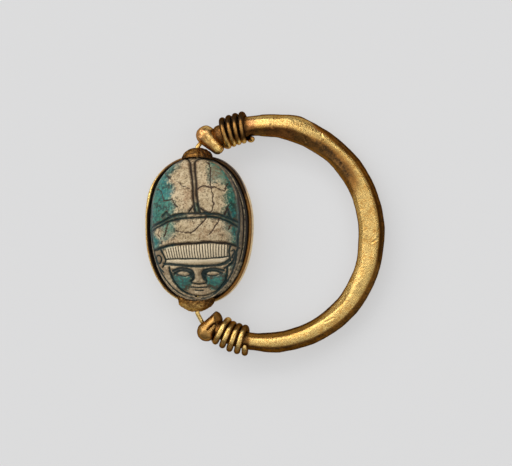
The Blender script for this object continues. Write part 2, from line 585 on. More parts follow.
def stone_mesh():
    """Points and faces of the stone: its carved back, and rings from there down to the seal face."""
    share, angle, faces, rim = disc_grid(STONE_GRID)
    spread = share * (1 + GRID_SPREAD - GRID_SPREAD * share**2)
    edge_x, edge_y = oval(angle, -BACK_INSET, BACK_TAIL, BACK_HEAD)
    x, y = edge_x * spread, WIDEST + (edge_y - WIDEST) * spread
    z = back_height(x, y)
    bend = 1 - soft_step(share, CARVED_SHARE, 1.0)
    real_x = x - lean_at(y)
    cut = carving(real_x, y)[0] * (EDGE_DEPTH_SHARE + (1 - EDGE_DEPTH_SHARE) * bend)
    head = 1 - soft_step(y, *FACE_END)
    z = z + face_relief(real_x - FACE_AXIS, y) * head * bend - cut
    top = np.stack([x, y, z], 1)
    top[:, 2] += bumpy(top, *BACK_BUMPS)
    rings = []
    legs = np.array(LEG_SHARES) * math.pi / 2
    from_side = np.arcsin(np.clip(np.sin(angle[rim]), -1, 1))
    nearest = np.min(np.abs(from_side[:, None] - legs[None, :]), axis=1)
    bump = LEG_RELIEF * (1 - soft_step(nearest, 0, LEG_HALF))
    for out, tail, head, height, leg in STONE_SIDE:
        ring_x, ring_y = oval(angle[rim], out, tail, head)
        ring_x += np.sign(ring_x) * leg * bump
        rings.append(np.stack([ring_x, ring_y, np.full(len(rim), height)], 1))
    side = np.vstack(rings)
    side += bumpy(side, SIDE_BUMPS)[:, None] * np.array([1, 1, 0.5])
    side[:, 2] = np.maximum(side[:, 2], 0)
    points = np.vstack([top, side])
    count = len(rim)
    ring_at = [rim] + [len(top) + i * count + np.arange(count) for i in range(len(rings))]
    skin = [faces]
    for high, low in zip(ring_at[:-1], ring_at[1:]):
        skin.append(np.stack([low, np.roll(low, -1), np.roll(high, -1), high], 1))
    skin = np.vstack(skin).tolist()
    skin.append(ring_at[-1][::-1].tolist())
    return leaning(points), skin


def ring_tube(rings, loop=False):
    """Faces that join rings of equally many points, with flat ends unless the rings make a loop."""
    count = len(rings[0])
    spans = len(rings) if loop else len(rings) - 1
    faces = []
    for i in range(spans):
        low = i * count + np.arange(count)
        high = ((i + 1) % len(rings)) * count + np.arange(count)
        faces.append(np.stack([low, np.roll(low, -1), np.roll(high, -1), high], 1))
    faces = np.vstack(faces).tolist()
    if not loop:
        faces.append(list(range(count))[::-1])
        faces.append([(len(rings) - 1) * count + i for i in range(count)])
    return np.vstack(rings), faces


def settle(made):
    """Makes what an object's modifiers give its own plain mesh."""
    graph = bpy.context.evaluated_depsgraph_get()
    plain = bpy.data.meshes.new_from_object(made.evaluated_get(graph))
    made.modifiers.clear()
    made.data = plain


def cut_away(target, cutters):
    """Cuts the cutters out of the target and deletes them."""
    for cutter in cutters:
        cut = target.modifiers.new("cut", "BOOLEAN")
        cut.operation, cut.solver, cut.object = "DIFFERENCE", "EXACT", cutter
    settle(target)
    target.data.set_sharp_from_angle(angle=SHARP_ANGLE)
    for cutter in cutters:
        bpy.data.objects.remove(cutter)


def points_of(made):
    """The points of a mesh object in millimetres."""
    co = np.zeros(len(made.data.vertices) * 3, np.float32)
    made.data.vertices.foreach_get("co", co)
    return co.reshape(-1, 3).astype(float) / MM


def keep_values(made, values):
    """Keeps named values at the points of a mesh, for its material to read."""
    for key, array in values.items():
        layer = made.data.attributes.new(key, "FLOAT", "POINT")
        layer.data.foreach_set("value", np.asarray(array, np.float32))


def rod(radius, reach, sides=24):
    """A round rod along the bore, as a cutter."""
    turn = np.linspace(0, 2 * math.pi, sides, endpoint=False)
    ring = np.stack([radius * np.sin(turn), 0 * turn, BORE_HEIGHT + radius * np.cos(turn)], 1)
    return new_object("rod", *ring_tube([ring + np.array([0, end, 0]) for end in (-reach, reach)]))


def mottle(place, size, detail=3.0, roughness=0.55):
    """Soft blotches of about that size in metres, around 0.5."""
    values = {"Vector": place, "Scale": 1 / size, "Detail": detail, "Roughness": roughness}
    return Field.node("TexNoise", values)


def kept(name):
    """A value that the mesh carries at its points."""
    return Field.node("Attribute", settings={"attribute_name": name}, out="Fac")


def coated(colour, *coats):
    """A colour with coats over it, each with its own colour and its share from 0 to 1."""
    # Inputs 6 and 7 of a Mix node are its two colours, and output 2 is what they make.
    for coat, share in coats:
        colour = Field.node("Mix", {0: share, 6: colour, 7: coat}, {"data_type": "RGBA"}, out=2)
    return colour


# Where the back ends and its flank starts, the ledge round it, and the strip along the back's edge
BACK_FOOT, FLANK_TOP = 3.3, 3.32
LEDGE_LOW, LEDGE_HIGH = 2.0, 2.2
EDGE_STRIP = 0.2
LIT_LEDGE_INSET, LIT_LEDGE_ENDS = 0.365, 0.22
# Glaze from -1, worn away, to 1: along the glazed edge, along the rest of it, and underneath
EDGE_GLAZE, FLANK_GLAZE, FOOT_GLAZE = 0.5, -0.25, -0.22
# Dirt along the same two edges, and soil on the flank and in the shade of the band
EDGE_DIRT, WORN_EDGE_DIRT = 0.3, 1.05
FLANK_SOIL = 0.58
STONE_CREAM = (0.41, 0.305, 0.17, 1.0)
STONE_PALE = (0.56, 0.445, 0.275, 1.0)
STONE_PINK = (0.38, 0.25, 0.135, 1.0)
STONE_IVORY = (0.72, 0.6, 0.41, 1.0)
STONE_OLIVE = (0.19, 0.135, 0.065, 1.0)
GLAZE_GREEN = (0.02, 0.135, 0.095, 1.0)
GLAZE_BLUE = (0.008, 0.135, 0.13, 1.0)
GLAZE_DARK = (0.006, 0.036, 0.028, 1.0)
GLAZE_PALE = (0.05, 0.235, 0.17, 1.0)
LINE_TEAL = (0.006, 0.024, 0.024, 1.0)
LINE_BROWN = (0.026, 0.016, 0.009, 1.0)
CRACK_BROWN = (0.042, 0.02, 0.009, 1.0)
SPECK_BROWN = (0.09, 0.048, 0.02, 1.0)
SOIL_BLACK = (0.021, 0.015, 0.01, 1.0)
STONE_GRAIN = 0.09
# Heights over which the back starts, places across over which its right side does, and the corner
# to the left of which, and behind which, the edge of the back has kept its glaze
BACK_FADE, RIGHT_FADE = (3.25, 3.5), (1.6, 3.4)
GLAZED_CORNER = (-2.5, -1.3)
# Down from the fringe's upper line: where the head starts, the fringe, and what is below the band.
# Out from the face's axis: where the fringe ends, and where the hair beside the face starts
HEAD_FADE, FRINGE_SPAN, BAND_FADE = (0.0, 0.25), (0.1, 0.3, 2.1, 2.3), (2.3, 2.7)
FRINGE_ASIDE, HAIR_ASIDE = (3.4, 3.9), (3.3, 4.4)
# Heights up to which the seal face's glaze reaches, and down to which the soil in the band does
FOOT_TOP, SOIL_FOOT = 0.5, 0.6
LIT_LEDGE_HALF = (0.05, 0.1)

glazed, shader = Field.start("glazed_steatite")
place = Field.node("TexCoord", out="Object")
blotch = mottle(place, 1.1 * MM)
grain = mottle(place, 0.35 * MM, 4.0, 0.65)
fine = mottle(place, 0.16 * MM, 3.0, 0.6)
cloud = mottle(place, 2.4 * MM, 2.0)
head = kept("head")
edge = kept("glaze") + (blotch - 0.5) * 1.5 + (grain - 0.5) * 1.8 + (fine - 0.5) * 0.8
glaze = edge.between(-0.5, 0.44)
cream = coated(
    STONE_CREAM,
    (STONE_PINK, cloud.between(0.46, 0.66)),
    (STONE_PALE, (1 - blotch).between(0.46, 0.62) * 0.7),
    (STONE_PALE, (1 - grain).between(0.5, 0.62) * 0.8),
    (STONE_OLIVE, grain.between(0.52, 0.64) * 0.8 * (1 - 0.4 * head)),
    (SPECK_BROWN, fine.between(0.56, 0.65) * (0.95 - 0.5 * head)),
    (STONE_PALE, head * 0.4),
    (STONE_IVORY, (head - 1) * 0.8),
)
thin = kept("thin") * 0.8 + (blotch - 0.5) * 1.2 + (grain - 0.5) * 1.4
green = coated(
    GLAZE_GREEN,
    (GLAZE_BLUE, (cloud + head * 0.2).between(0.4, 0.62)),
    (GLAZE_DARK, (blotch * 0.6 + grain * 0.4).between(0.46, 0.6) * 0.95),
    (GLAZE_PALE, (1 - grain).between(0.48, 0.62) * 0.75),
    (SPECK_BROWN, fine.between(0.55, 0.66) * 0.8),
    (cream, thin.between(0.35, 1.1) * 0.55),
)
teal = kept("glaze") + (cloud - 0.5) * 1.5 + head * 0.7
line = coated(LINE_BROWN, (LINE_TEAL, teal.between(-0.6, 0.15)))
dirt = kept("dirt") + (grain - 0.5) * 1.4 + (blotch - 0.5) * 0.8
groove = kept("groove") * (0.7 + 0.6 * blotch) + (grain - 0.5) * 0.7
skin = coated(
    cream,
    (green, glaze),
    (SPECK_BROWN, dirt.between(0.3, 1.1) * 0.6),
    (line, groove.between(0.18, 0.82) * 0.96),
    (CRACK_BROWN, (kept("crack") + (grain - 0.5) * 1.2).between(0.1, 0.65) * 0.95),
    (SOIL_BLACK, (kept("soil") + (grain - 0.5) * 0.5).between(0.25, 0.8)),
)
Field.plug(shader.inputs["Base Color"], skin)
Field.plug(shader.inputs["Roughness"], 0.62 - 0.22 * glaze + (grain - 0.5) * 0.3)
shader.inputs["Specular IOR Level"].default_value = 0.35
height = grain + blotch * 0.6 + fine * 0.5
bump = Field.node("Bump", {"Strength": 0.6, "Distance": STONE_GRAIN * MM, "Height": height})
Field.plug(shader.inputs["Normal"], bump)

scarab = new_object("scarab_stone", *stone_mesh(), glazed)
cut_away(scarab, [rod(BORE_RADIUS, BORE_REACH)])
x, y, z = points_of(scarab).T
_, groove, crack, dirt = carving(x, y)
worn, spots, thinned = (
    np.max([inside_by(path, x, y) for path in paths], axis=0) for paths in (WORN, SPOTS, THIN)
)
fringe_line = rounded(FRINGE_LINE[2])
below_hair = np.interp(x, fringe_line[:, 0], fringe_line[:, 1]) - y
aside = np.abs(x - FACE_AXIS)
on_back = soft_step(z, *BACK_FADE)
on_right = soft_step(x, *RIGHT_FADE)
in_head = soft_step(below_hair, *HEAD_FADE) * (z > BACK_FOOT)
in_fringe = within(below_hair, *FRINGE_SPAN) * (1 - soft_step(aside, *FRINGE_ASIDE))
beside_face = soft_step(aside, *HAIR_ASIDE) * in_head
below_band = soft_step(below_hair, *BAND_FADE) * in_head
hollow = soft_step(-face_relief(x - FACE_AXIS, y), 0.0, 0.2)
upright_x = x + lean_at(y)
border = oval_share(upright_x, y, -BACK_INSET - EDGE_STRIP, BACK_TAIL, BACK_HEAD) > 1
glazed_edge = (x < GLAZED_CORNER[0]) & (y > GLAZED_CORNER[1])
on_cheek = np.maximum((inside_by(CHEEK_GLAZE, aside, y) + 0.2) * 3, -0.6)
left_glaze = np.maximum(np.where(below_hair < 0, -worn, on_cheek), spots * 1.5)
edge_glaze = np.where(glazed_edge, EDGE_GLAZE, FLANK_GLAZE)
left_glaze = np.where(border | (z < BACK_FOOT), edge_glaze, left_glaze)
left_glaze = np.where(z < FOOT_TOP, FOOT_GLAZE, left_glaze)
dirt = np.maximum(dirt * (1 - 0.8 * in_head), 1.2 * beside_face)
dirt = np.maximum(dirt, (0.75 + 0.5 * hollow) * below_band)
dirt = np.where(border, np.where(glazed_edge, EDGE_DIRT, WORN_EDGE_DIRT), dirt)
groove = np.maximum(groove, 0.85 * hollow * (below_hair > 1.6))
lit_line = oval_share(upright_x, y, -LIT_LEDGE_INSET, LIT_LEDGE_ENDS, LIT_LEDGE_ENDS)
from_lit = np.abs(lit_line - 1) * STONE_HALF_WIDTH
lit_ledge = (1 - soft_step(from_lit, *LIT_LEDGE_HALF)) * on_right
soil = np.where((z > LEDGE_HIGH) & (z < FLANK_TOP), FLANK_SOIL, 0.0)
soil = np.where((z > LEDGE_LOW) & (z < LEDGE_HIGH), 1 - 0.62 * lit_ledge, soil)
soil = np.where((z <= LEDGE_LOW) & (z > SOIL_FOOT), 1.0, soil)
soil *= 1 - 0.4 * on_right * soft_step(-y, 2.5, 4.5)
keep_values(
    scarab,
    {
        "glaze": np.clip(left_glaze, -1, 1),
        "thin": soft_step(thinned, -0.2, 0.4),
        "groove": groove * on_back,
        "crack": crack * on_back,
        "dirt": dirt * on_back,
        "head": in_head * (1 + in_fringe),
        "soil": soil,
    },
)
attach(scarab, "bezel")
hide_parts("scarab")

# Setting: an oval band of sheet gold, soldered into a ring, bent round the stone's plinth, with
# its lower edge turned in under the stone. It is uneven and stained, with a rubbed bright rim.
SETTING_WALL, BAND_HEIGHT = 0.45, 2.35
SETTING_STEPS = 400
LEFT_FLARE = 0.19
# Waves of its rim: height, number of them round the band, and where they start
RIM_WAVES = [(0.035, 3, 0.8), (0.02, 7, 2.0)]
BAND_BUMPS = (0.018, 0.9, 6)
WAVE_OUT_SHARE = 0.4
RIM_DROP, RIM_FROM = 0.04, 2.0
# How far out from the stone's outline and how high each line of the band lies, and its tarnish on
# the left and on the right
SETTING_SECTION = [
    (-0.18, 0.1, 0.3, 0.3),
    (-0.05, 0.1, 0.2, 0.2),
    (0.08, 0.11, 0.1, 0.1),
    (0.2, 0.17, 0.05, 0.05),
    (0.3, 0.28, 0.05, 0.05),
    (0.37, 0.45, 0.1, 0.0),
    (0.42, 0.7, 0.1, -0.1),
    (0.445, 0.95, 0.1, -0.1),
    (0.45, 1.2, 0.15, -0.2),
    (0.45, 1.5, 0.2, -0.2),
    (0.45, 1.8, 0.15, -0.1),
    (0.45, 2.05, 0.0, 0.2),
    (0.43, 2.18, -0.2, 0.6),
    (0.38, 2.27, -0.1, 0.65),
    (0.3, 2.33, 0.2, 0.65),
    (0.24, 2.345, 1.1, 0.7),
    (0.19, 2.35, 1.5, 0.7),
    (0.13, 2.34, 1.4, 0.7),
    (0.08, 2.31, 1.4, 0.9),
    (0.06, 2.26, 1.5, 1.1),
    (0.09, 2.2, 1.5, 1.4),
    (0.17, 2.05, 1.5, 1.5),
    (0.2, 1.85, 1.5, 1.5),
    (0.2, 1.5, 1.5, 1.5),
    (0.2, 1.05, 1.5, 1.5),
    (0.17, 0.8, 1.3, 1.3),
    (0.11, 0.58, 1.2, 1.2),
    (0.0, 0.38, 1.0, 1.0),
    (-0.18, 0.24, 0.6, 0.6),
]
GOLD_BRIGHT = (0.92, 0.67, 0.24, 1.0)
GOLD_DEEP = (0.54, 0.3, 0.08, 1.0)
GOLD_GREEN = (0.46, 0.35, 0.12, 1.0)
TARNISH_BROWN = (0.24, 0.098, 0.022, 1.0)
TARNISH_RED = (0.47, 0.19, 0.08, 1.0)
TARNISH_DARK = (0.055, 0.03, 0.013, 1.0)
EDGE_TINT = (0.6, 0.43, 0.3, 1.0)


def worn_gold(name, roughness, grain_depth=0.07, grain_size=0.3, speckle=0.5, tint=EDGE_TINT):
    """Old gold: a deep and a bright alloy colour, brown and then dark tarnish where the mesh keeps
    a high value of "stain", and a copper blush where it keeps a high value of "red"."""
    material, shader = Field.start(name)
    place = Field.node("TexCoord", out="Object")
    cloud = mottle(place, 3.0 * MM, 2.0)
    blotch = mottle(place, 0.9 * MM)
    grain = mottle(place, grain_size * MM, 5.0, 0.7)
    fleck = mottle(place, 0.6 * grain_size * MM, 2.0, 0.6)
    red = kept("red") + (cloud - 0.5) * 1.2 + (grain - 0.5) * 0.8
    stain = kept("stain") + (blotch - 0.5) * speckle + (grain - 0.5) * 1.6 * speckle
    colour = coated(
        GOLD_DEEP,
        (GOLD_BRIGHT, (blotch * 0.4 + grain * 0.6).between(0.42, 0.56)),
        (TARNISH_BROWN, fleck.between(0.56, 0.7) * speckle),
        (GOLD_GREEN, cloud.between(0.52, 0.72) * 0.35),
        (TARNISH_RED, red.between(0.3, 1.0)),
        (TARNISH_BROWN, stain.between(0.12, 0.6) * 0.9),
        (TARNISH_DARK, stain.between(0.5, 1.05)),
    )
    Field.plug(shader.inputs["Base Color"], colour)
    shader.inputs["Metallic"].default_value = 1.0
    dullness = roughness + (grain - 0.5) * 0.25 + stain.between(0.1, 1.0) * 0.15
    Field.plug(shader.inputs["Roughness"], dullness)
    height = grain + blotch * 0.8
    bump = Field.node("Bump", {"Strength": 0.6, "Distance": grain_depth * MM, "Height": height})
    Field.plug(shader.inputs["Normal"], bump)
    shader.inputs["Specular Tint"].default_value = tint
    return material


setting_gold = worn_gold("setting_gold", 0.33, tint=(1.0, 1.0, 1.0, 1.0))
turn = np.linspace(0, 2 * math.pi, SETTING_STEPS, endpoint=False)
wave = sum(height * np.sin(turn * count + start) for height, count, start in RIM_WAVES)
right_side = soft_step(np.cos(turn), -0.2, 0.7)
left_side = soft_step(-np.cos(turn), 0.0, 0.7)
tail_right = within(turn, 0.35, 0.65, 1.3, 1.6)
tail_left, rubbed = swell(turn, 2.0, 0.33), swell(turn, 2.75, 0.2)
rings, stains = [], []
for grow, height, tarnish, right_tarnish in SETTING_SECTION:
    waved = wave * soft_step(height, 1.2, 2.3)
    ring_x, ring_y = oval(turn, grow + WAVE_OUT_SHARE * waved)
    ring_x = ring_x - LEFT_FLARE * left_side * soft_step(height, 0.2, 1.7)
    ring_z = height + waved - RIM_DROP * (height > RIM_FROM)
    rings.append(np.stack([ring_x, ring_y, ring_z], 1))
    stain = tarnish + (right_tarnish - tarnish) * right_side
    stain = stain + 1.1 * tail_right * soft_step(height, 0.9, 1.5)
    stain = stain + 0.7 * tail_left * soft_step(height, 1.9, 2.25)
    stains.append(stain - 1.5 * rubbed * (grow > 0.05) * (height > 2.25))
band_points, band_faces = ring_tube(rings, loop=True)
band_points = leaning(band_points)
band_points += bumpy(band_points, BAND_BUMPS)[:, None] * np.array([1, 1, 0.6])
# The section runs the other way round than a ring of the stone, so its faces are turned over.
band_faces = [face[::-1] for face in band_faces]
band = new_object("setting_band", band_points, band_faces, setting_gold)
keep_values(band, {"stain": np.concatenate(stains), "red": np.zeros(len(band_points))})
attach(band, "bezel")
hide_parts("setting")

# End caps: two small domes of gold, hammered by hand, that hook over the band's rim and the
# stone's ledge and cover the mouths of the bore. The one at the head is wider and rougher.
CAP_CLEARANCE, BACK_CLEARANCE = 0.1, 0.07
CAP_HOLE_RADIUS, CAP_HOLE_REACH = 0.34, 11.0
PLINTH_HEIGHT = 2.1
PRISM_LOW, PRISM_HIGH = -1.0, 8.0
SEAM_Y, SEAM_WIDTH = 8.2, 0.7
CAPS = [
    # name, side, middle, half width, reach, half height, crown, roughness, seed, tarnish
    ("tail_end_cap", 1, 0.0, 1.85, 1.35, 1.45, 9.62, 0.09, 11, 0.74),
    ("head_end_cap", -1, -0.18, 2.17, 1.5, 1.6, 9.6, 0.12, 12, 0.34),
]
CAP_ROWS, CAP_COLUMNS = 71, 128
# Crease down the cap at the tail: where it lies, its half width, and how deep and how low it sinks
CREASE_X, CREASE_HALF = 0.45, 0.16
CREASE_DEPTH, CREASE_DROP = 0.16, 0.14


def oval_prism(grow, high, tail=0.0, head=0.0):
    """An upright block with the stone's outline, as a cutter."""
    x, y = oval(np.linspace(0, 2 * math.pi, 192, endpoint=False), grow, tail, head)
    points, faces = ring_tube([np.stack([x, y, np.full(len(x), z)], 1) for z in (PRISM_LOW, high)])
    return new_object("prism", leaning(points), faces)


def shell_faces(rows, columns):
    """Faces of a closed shell: rows of points between a first and a last single point."""
    index = 1 + np.arange(rows * columns).reshape(rows, columns)
    faces = []
    for upper, lower in zip(index[:-1], index[1:]):
        faces += np.stack([upper, np.roll(upper, -1), np.roll(lower, -1), lower], 1).tolist()
    last = rows * columns + 1
    faces += [[0, b, a] for a, b in zip(index[0], np.roll(index[0], -1))]
    faces += [[last, a, b] for a, b in zip(index[-1], np.roll(index[-1], -1))]
    return faces


def ball(rows, columns):
    """Points of a unit ball with its poles along Y."""
    lat = np.linspace(0, math.pi, rows + 2)[1:-1]
    lon = np.linspace(0, 2 * math.pi, columns, endpoint=False)
    la, lo = np.meshgrid(lat, lon, indexing="ij")
    shell = np.stack([np.sin(la) * np.cos(lo), np.cos(la), np.sin(la) * np.sin(lo)], -1)
    return np.vstack([[(0, 1, 0)], shell.reshape(-1, 3), [(0, -1, 0)]])


cap_gold = worn_gold("cap_gold", 0.3, 0.2, speckle=1.3)
for name, side, aside, half_width, reach, half_height, crown, rough, seed, tarnish in CAPS:
    unit = ball(CAP_ROWS, CAP_COLUMNS)
    unit = unit * (1 + rough * bumpy(unit, (0.6, 0.35, seed), (0.4, 0.14, seed + 1)))[:, None]
    middle = np.array([aside, side * (crown - reach), BORE_HEIGHT])
    points = unit * np.array([half_width, reach, half_height]) + middle
    if side > 0:
        crease = swell(points[:, 0], CREASE_X, CREASE_HALF) * soft_step(points[:, 2], 3.2, 4.0)
        points[:, 1] -= CREASE_DEPTH * crease
        points[:, 2] -= CREASE_DROP * crease
    cap = new_object(name + "_dome", points, shell_faces(CAP_ROWS, CAP_COLUMNS), cap_gold)
    cutters = [
        oval_prism(CAP_CLEARANCE, PLINTH_HEIGHT + CAP_CLEARANCE),
        oval_prism(-BACK_INSET, PRISM_HIGH, BACK_TAIL + BACK_CLEARANCE, BACK_HEAD + BACK_CLEARANCE),
        oval_prism(SETTING_WALL + CAP_CLEARANCE, BAND_HEIGHT + CAP_CLEARANCE),
        rod(CAP_HOLE_RADIUS, CAP_HOLE_REACH),
    ]
    cut_away(cap, cutters)
    x, y, _ = points_of(cap).T
    seam = 1 - soft_step(side * y, SEAM_Y, SEAM_Y + SEAM_WIDTH)
    stain = tarnish + 0.35 * seam + 0.25 * soft_step(x, 0.2, 1.5)
    keep_values(cap, {"stain": stain, "red": np.full(len(x), 0.25)})
    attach(cap, "bezel")
    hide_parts(name)

# Hoop: one solid bar of gold, hammered to a taper and bent round, with a thin neck at each end.
# The hammer has left long flats with a sharp edge between them, a kink near the tail, and nicks.
# It lies in a plane of its own, which falls from the bore to the table at its far side.
HOOP_TILT = math.radians(4.147)
HOOP_RADIUS = 1.53
ARC_RADIUS = 12.6259
ARC_CENTRE = (7.7017, -0.3771)
ARC_TURN = math.radians(0.3055)
NECK_ARC = 26.3413
NECK_TIP_RADIUS, NECK_TIP_LENGTH, NECK_TIP_GAP = 0.55, 1.3, 0.2
SHOULDER_LENGTH, SHOULDER_GAP = 1.2, 0.3
HOOP_STEPS, HOOP_SIDES = 720, 124
HOOP_DENTS = [(0.035, 1.9, 21), (0.02, 0.7, 22), (0.01, 0.3, 23)]
NECK_DENT_SHARE = 0.3
# Radius of the bar and how far it strays outwards, as shares of HOOP_RADIUS, from head to tail
SECTION = [
    (-1, 0.65), (-0.82, 0.68), (-0.68, 0.79), (-0.52, 0.84), (-0.36, 0.9), (-0.2, 0.925), (0.02, 1),
    (0.28, 0.97), (0.4, 0.925), (0.5, 0.965), (0.6, 1.02), (0.7, 0.88), (0.8, 0.79), (1, 0.7),
]
STRAY = [
    (-1, -0.13), (-0.94, -0.11), (-0.9, 0.04), (-0.8, 0.09), (-0.68, 0.176), (-0.52, 0.222),
    (-0.34, 0.253), (-0.2, 0.183), (-0.04, 0.065), (0.2, 0.035), (0.5, 0.005), (0.6, 0.065),
    (0.74, -0.04), (0.84, -0.04), (0.93, -0.08), (1, -0.08),
]
# Each winding: side, turn, lead, pitch, turns, phase at the knob, neck radius, wire radius, and how
# far its end is pulled along the bar and lifted from it
LEAD_TURNS = 0.4
TAIL_WINDING = (1, -1, 1.82, 0.72, 4.08, math.pi + LEAD_TURNS * 2 * math.pi, 1.17, 0.345, 0.5, 0.06)
HEAD_WINDING = (-1, 1, 1.2, 0.83, 4.2, -LEAD_TURNS * 2 * math.pi, 1.02, 0.385, -0.12, 0.0)
# Flats: the phase of their middles along the bar, how deep they are struck as a share of the
# radius, and where along the bar they start and end
EDGE = [(0.0, 1.05), (0.3, 1.0), (0.42, 1.12), (0.5, 0.92), (0.66, 0.1)]
FLATS = [
    ([(s, p - 0.6) for s, p in EDGE], 0.89, -0.05, 0.64),
    ([(s, p + 0.62) for s, p in EDGE], 0.87, -0.05, 0.6),
    ([(-0.86, 2.65), (-0.5, 2.6), (-0.3, 2.4)], 0.88, -0.86, -0.2),
    ([(-0.86, 0.4), (-0.3, 0.55)], 0.91, -0.86, -0.05),
    ([(0.58, 2.1), (0.86, 2.3)], 0.9, 0.5, 0.88),
    ([(0.6, 1.05), (0.7, 1.25), (0.9, 1.45)], 0.96, 0.62, 0.92),
]
FLAT_FADE = 0.16
FLAT_SOFTNESS = 0.018
# Lines of heavier tarnish, and rubbed ones of less: the change, half width in radians, and places
TONES = [
    (0.24, 0.34, [(0.46, 1.75), (0.3, 1.7), (0.14, 1.8)]),
    (-0.75, 0.1, [(0.56, 0.5), (0.5, 0.92), (0.42, 1.1), (0.3, 0.99), (0.2, 1.01), (0.04, 1.04)]),
    (-0.12, 0.26, [(0.96, 1.0), (0.78, 0.97), (0.72, 0.93), (0.64, 0.69), (0.59, 0.55)]),
    (-0.25, 0.3, [(-0.88, 1.6), (-0.7, 1.68), (-0.59, 1.43), (-0.4, 1.16), (-0.3, 1.41), (-0.1, 1.6),
        (0.2, 1.75)]),
    (0.38, 0.6, [(0.6, 2.3), (0.45, 2.0), (0.32, 1.95), (0.2, 2.5)]),
    (0.3, 0.4, [(0.95, 1.9), (0.8, 1.9), (0.62, 1.8)]),
    (0.42, 0.3, [(0.56, 0.1), (0.4, 0.6), (0.1, 0.62), (-0.1, 0.5)]),
]
BARE_TONE = 0.22
STRIP_FADE = 0.16
# Nicks: two places by share along the bar and phase, half width and depth in millimetres
NICKS = [
    ((0.492, 0.95), (0.47, 1.35), 0.12, 0.07),
    ((0.47, 1.35), (0.447, 1.8), 0.12, 0.07),
    ((-0.03, 1.05), (-0.045, 1.45), 0.12, 0.06),
    ((0.71, 1.5), (0.7, 1.8), 0.14, 0.05),
    ((0.55, 1.9), (0.535, 2.2), 0.14, 0.05),
    ((0.34, 1.9), (0.335, 2.05), 0.16, 0.07),
    ((-0.42, 1.6), (-0.46, 1.7), 0.12, 0.04),
]
# How wide a nick opens, in half widths, and the lip beside it: place, width, share of the depth
NICK_OPENING, NICK_LIP = 1.3, (1.7, 0.6, 0.3)
NICK_REACH, LIP_REACH = 0.6, 0.59
# Distance from a knob over which the windings give way to the free bar
WINDINGS_END = (5.2, 6.2)
# Tarnish along the bar: where the outer strip starts, from -1 inside to 1 outside, and how dark it
# is, and the same for the inner strip
OUTER_FROM = [
    (-0.9, 0.4), (-0.45, 0.45), (-0.1, 0.62), (0.15, 0.62), (0.3, 0.5), (0.5, 0.5), (0.62, 0.85),
]
OUTER_DARK = [(-0.9, 0.9), (-0.3, 0.85), (0.05, 0.68), (0.3, 0.42), (0.55, 0.4), (0.65, 0.8)]
INNER_FROM = [
    (-0.9, -0.3), (-0.6, -0.35), (-0.42, -0.75), (0.2, -0.8), (0.3, -0.2), (0.45, 0.1), (0.65, -0.2),
    (0.85, -0.35),
]
INNER_DARK = [
    (-0.9, 0.55), (-0.5, 0.5), (-0.35, 0.35), (0.2, 0.35), (0.35, 0.42), (0.5, 0.42), (0.65, 0.5),
    (0.85, 0.6),
]


def from_hoop_plane(points):
    """Places drawn in the hoop's own plane, carried over to where the ring lies."""
    x, y, z = np.moveaxis(np.asarray(points, float), -1, 0)
    c, s = math.cos(HOOP_TILT), math.sin(HOOP_TILT)
    return np.stack([x * c + z * s, y, BORE_HEIGHT - x * s + z * c], axis=-1)


def hoop_point(arc, distance, phase):
    """A place by its length along the bar, distance from its middle and phase, 0 on the outside
    and a quarter turn on the front, in the hoop's own plane."""
    angle = ARC_TURN + arc / ARC_RADIUS
    out = ARC_RADIUS + HOOP_RADIUS * table_at(STRAY, arc / NECK_ARC) + distance * np.cos(phase)
    x = ARC_CENTRE[0] + out * np.cos(angle)
    y = ARC_CENTRE[1] + out * np.sin(angle)
    return np.stack(np.broadcast_arrays(x, y, distance * np.sin(phase)), -1)


def hoop_section(arc):
    """Radius of the bar before it is hammered: its taper, and a shoulder, neck and tip at each end."""
    arc = np.asarray(arc, float)
    fits = []
    for winding in (TAIL_WINDING, HEAD_WINDING):
        lead, pitch, turns, neck_radius, wire_radius = (winding[i] for i in (2, 3, 4, 6, 7))
        from_knob = NECK_ARC - np.abs(arc)
        bare = lead + pitch * turns + wire_radius + SHOULDER_GAP
        free = HOOP_RADIUS * table_at(SECTION, arc / NECK_ARC)
        shoulder = soft_step(from_knob, bare, bare + SHOULDER_LENGTH)
        tip = soft_step(from_knob, NECK_TIP_GAP, NECK_TIP_LENGTH)
        neck = NECK_TIP_RADIUS + (neck_radius - NECK_TIP_RADIUS) * tip
        fits.append(neck + (free - neck) * shoulder)
    return np.where(arc > 0, fits[0], fits[1])


def hammered(arc, phase, radius):
    """The bar's real radius, with its flats and nicks."""
    share = arc / NECK_ARC
    shape = np.ones(np.broadcast(arc, phase).shape)
    for middle, struck, start, end in FLATS:
        fade = within(share, start - FLAT_FADE, start, end - FLAT_FADE, end)
        apart = phase - table_at(middle, share)
        apart = (apart + math.pi) % (2 * math.pi) - math.pi
        flat = (1 - (1 - struck) * fade) / np.maximum(np.cos(apart), 0.2)
        blend = np.clip(0.5 + 0.5 * (flat - shape) / FLAT_SOFTNESS, 0, 1)
        shape = shape * blend + flat * (1 - blend) - FLAT_SOFTNESS * blend * (1 - blend)
    shape = radius * (shape + FLAT_SOFTNESS / 4)
    unrolled_x = (arc * np.ones_like(shape)).ravel()
    unrolled_y = ((phase % (2 * math.pi)) * radius * np.ones_like(shape)).ravel()
    for first, last, half, depth in NICKS:
        size = hoop_section(np.array([first[0] * NECK_ARC]))[0]
        path = [(share * NECK_ARC, turn * size) for share, turn in (first, last)]
        apart = distance_to(path, unrolled_x, unrolled_y, NICK_REACH)
        lip = swell(apart, NICK_LIP[0] * half, NICK_LIP[1] * half) * NICK_LIP[2]
        cut = (1 - soft_step(apart, 0, NICK_OPENING * half)) - lip * (apart < LIP_REACH)
        shape -= depth * cut.reshape(shape.shape)
    return shape


